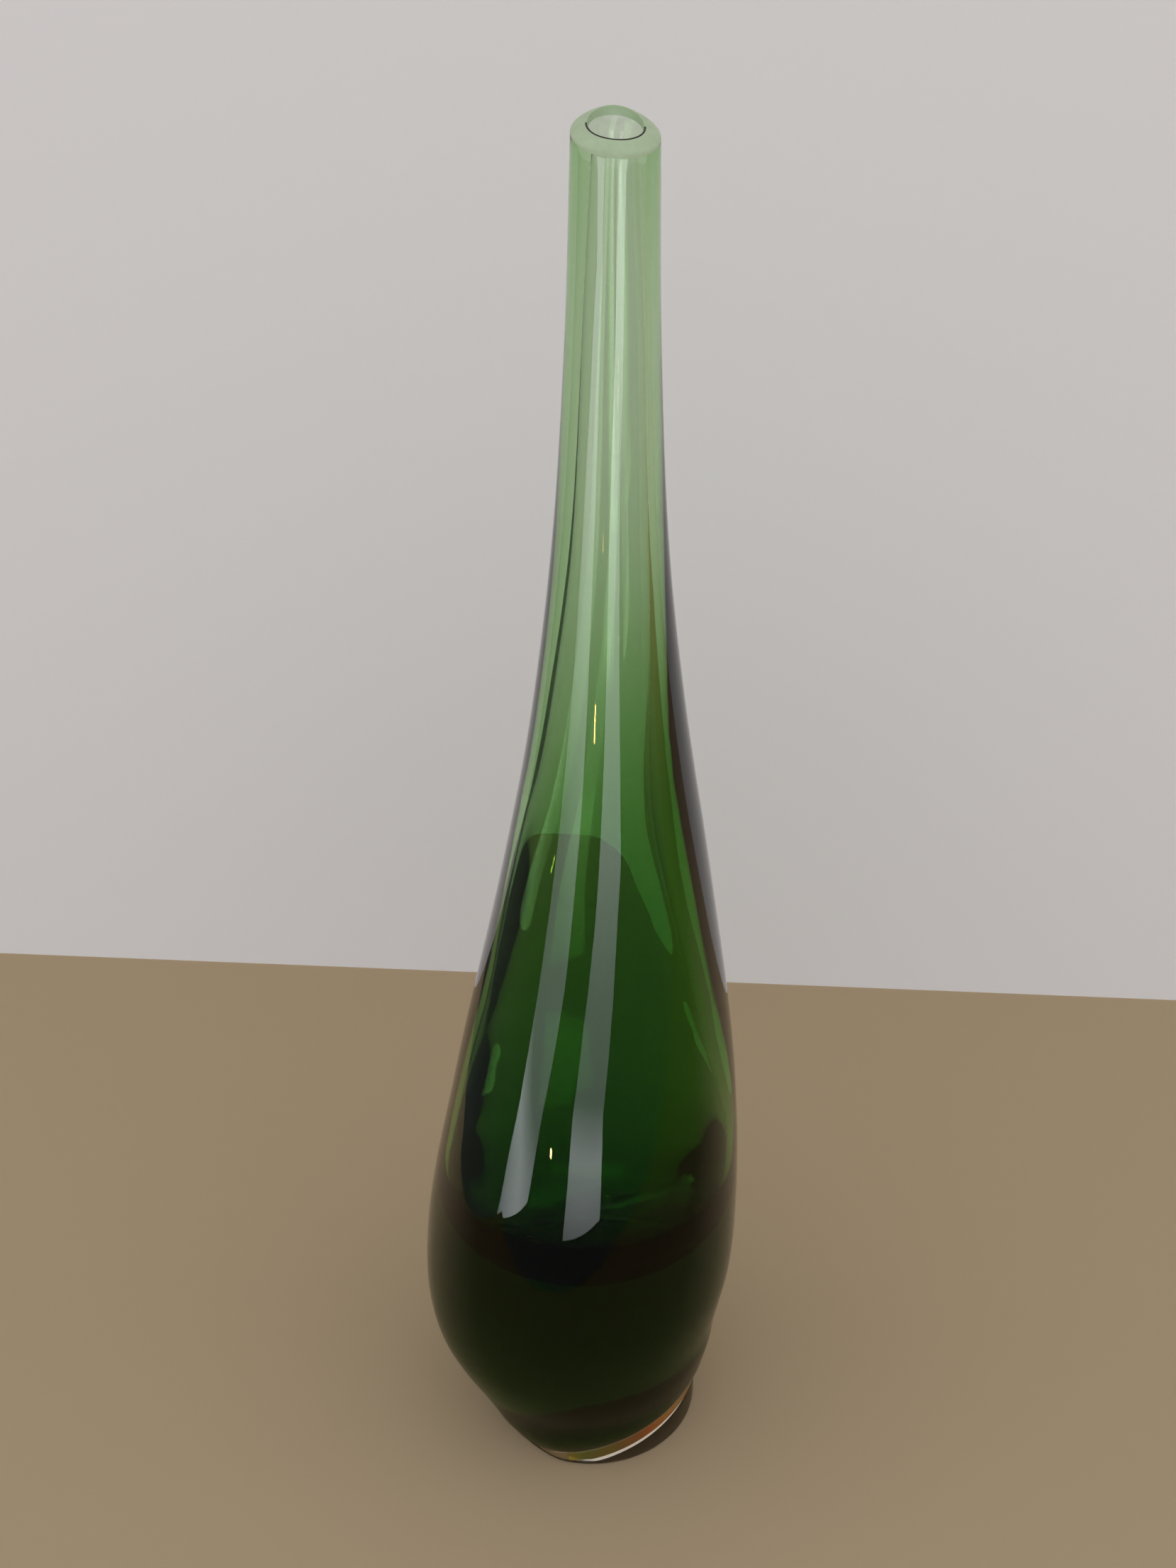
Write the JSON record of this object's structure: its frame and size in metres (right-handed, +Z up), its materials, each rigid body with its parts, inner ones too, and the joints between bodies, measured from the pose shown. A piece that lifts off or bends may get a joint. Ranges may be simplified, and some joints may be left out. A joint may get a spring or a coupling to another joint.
{
  "type": "glass vase",
  "caption": "Tall freeform bottle vase of thick cased glass: a green core with a flattened bore in it, a thin clear casing, an amber layer at the seam and a flat ground foot.",
  "frame": {"origin": "centre of the ground face of the foot, on the surface that the vase stands on", "axes": "+Z up the vase, +X towards the side that the neck leans to, -X towards the side that the belly swings to, -Y towards the viewer of the picture"},
  "size_m": [0.0848, 0.084, 0.4007],
  "materials": {
    "green_glass": "thick bottle-green glass, fire polished",
    "clear_glass": "thin clear glass over the green, fire polished, slightly wavy",
    "amber_glass": "amber glass seen from its edge",
    "foot_glass": "clear glass with a ground and polished underside"
  },
  "bodies": {
    "root": {"green_core": "green_glass", "clear_casing": "clear_glass", "amber_layer": "amber_glass", "clear_foot": "foot_glass"}
  },
  "joints": []
}
